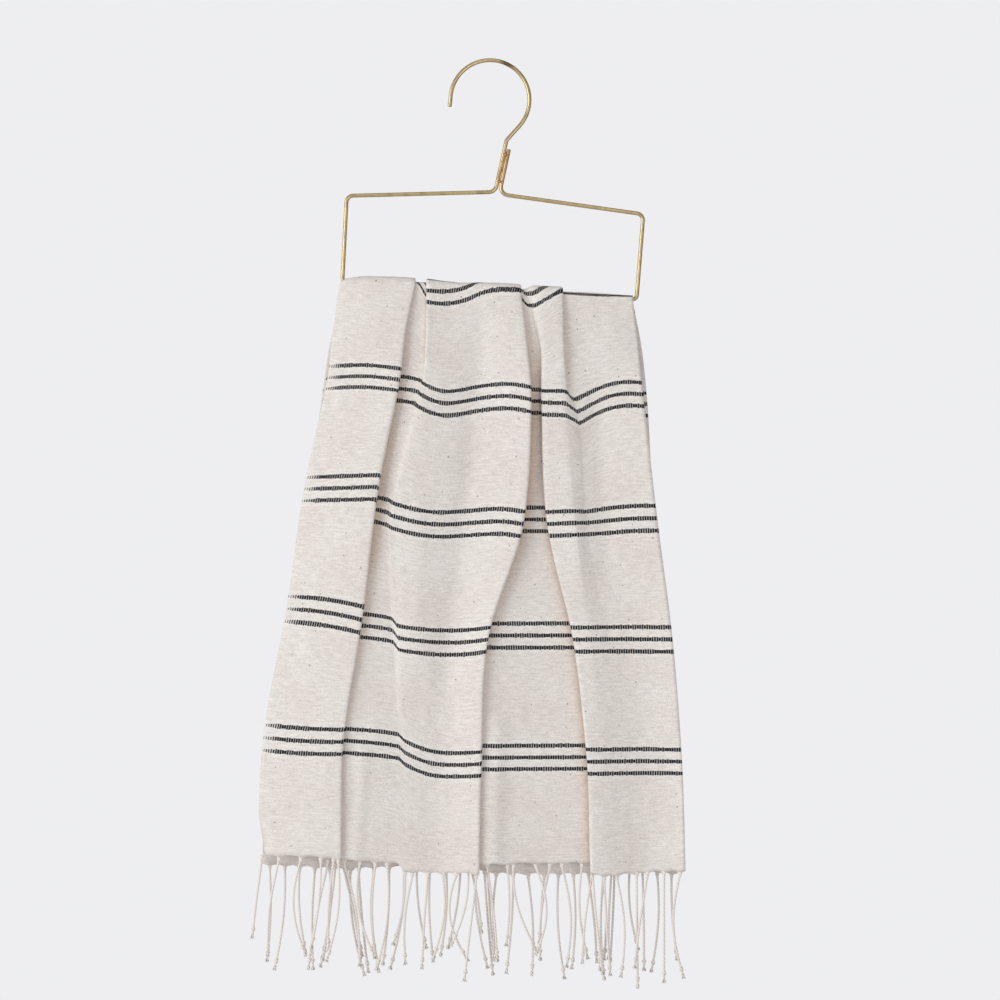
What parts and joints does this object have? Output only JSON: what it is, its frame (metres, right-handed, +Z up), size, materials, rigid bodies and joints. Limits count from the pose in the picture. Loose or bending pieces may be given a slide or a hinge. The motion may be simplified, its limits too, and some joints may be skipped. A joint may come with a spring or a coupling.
{
  "type": "hand towel on a wire hanger",
  "caption": "Cream handwoven cotton hand towel with dashed navy stripes and knotted fringes, folded over the bar of a bent brass wire hanger.",
  "frame": {"origin": "underside of the hook's crown, where the hanger bears on the thing that holds it up", "axes": "+Z up, +X to the right seen from the front, -Y the front"},
  "size_m": [0.3736, 0.041, 0.7982],
  "materials": {
    "brass_wire": "drawn brass wire, lightly aged, satin",
    "braze": "braze bead, coppery and glossy",
    "cotton": "undyed handwoven cotton with dashed navy weft stripes",
    "cotton_cord": "two-ply twisted undyed cotton warp ends, knotted"
  },
  "bodies": {
    "root": {"hanger_wire": "brass_wire", "braze_bead_upper": "braze", "braze_bead_lower": "braze", "towel_cloth": "cotton", "fringe_front": "cotton_cord", "fringe_back": "cotton_cord"}
  },
  "joints": []
}
